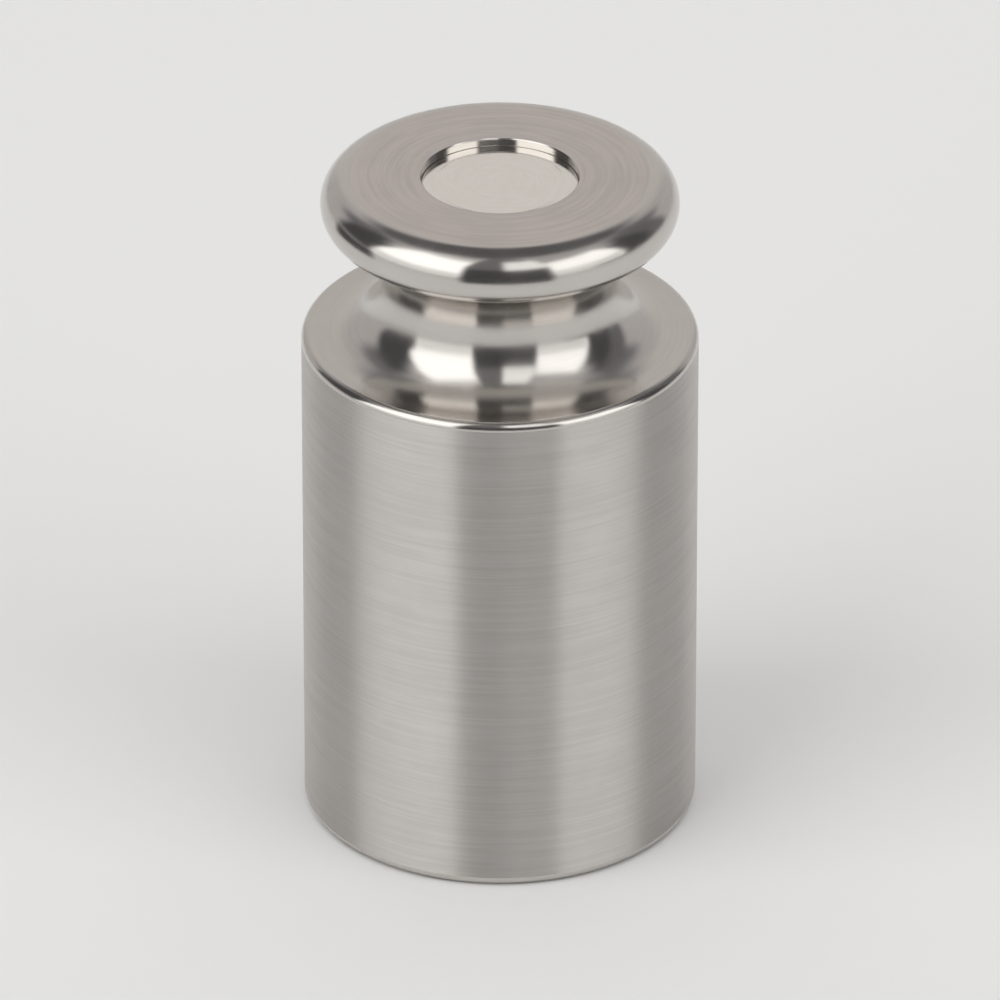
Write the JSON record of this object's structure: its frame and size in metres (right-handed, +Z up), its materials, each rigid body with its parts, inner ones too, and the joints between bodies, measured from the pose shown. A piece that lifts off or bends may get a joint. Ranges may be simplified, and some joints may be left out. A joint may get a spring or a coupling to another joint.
{
  "type": "calibration weight",
  "caption": "Polished stainless steel knob weight for checking balances: a cylinder with a round-edged lifting knob on a waisted neck, and a sealed adjusting cavity inside.",
  "frame": {"origin": "centre of the base, on the surface that the weight stands on", "axes": "+Z up along the axis that every piece is turned about; X and Y are free, because the weight is round"},
  "size_m": [0.06, 0.06, 0.1063],
  "materials": {
    "polished_stainless": "polished, with a fine-turned satin top to the knob",
    "turned_stainless": "as turned",
    "soft_aluminium": "smooth, pressed flat",
    "shot_steel": "tumbled smooth"
  },
  "bodies": {
    "root": {"body": "polished_stainless", "closing_plug": "turned_stainless", "sealing_disc": "soft_aluminium", "adjusting_shot": "shot_steel"}
  },
  "joints": []
}
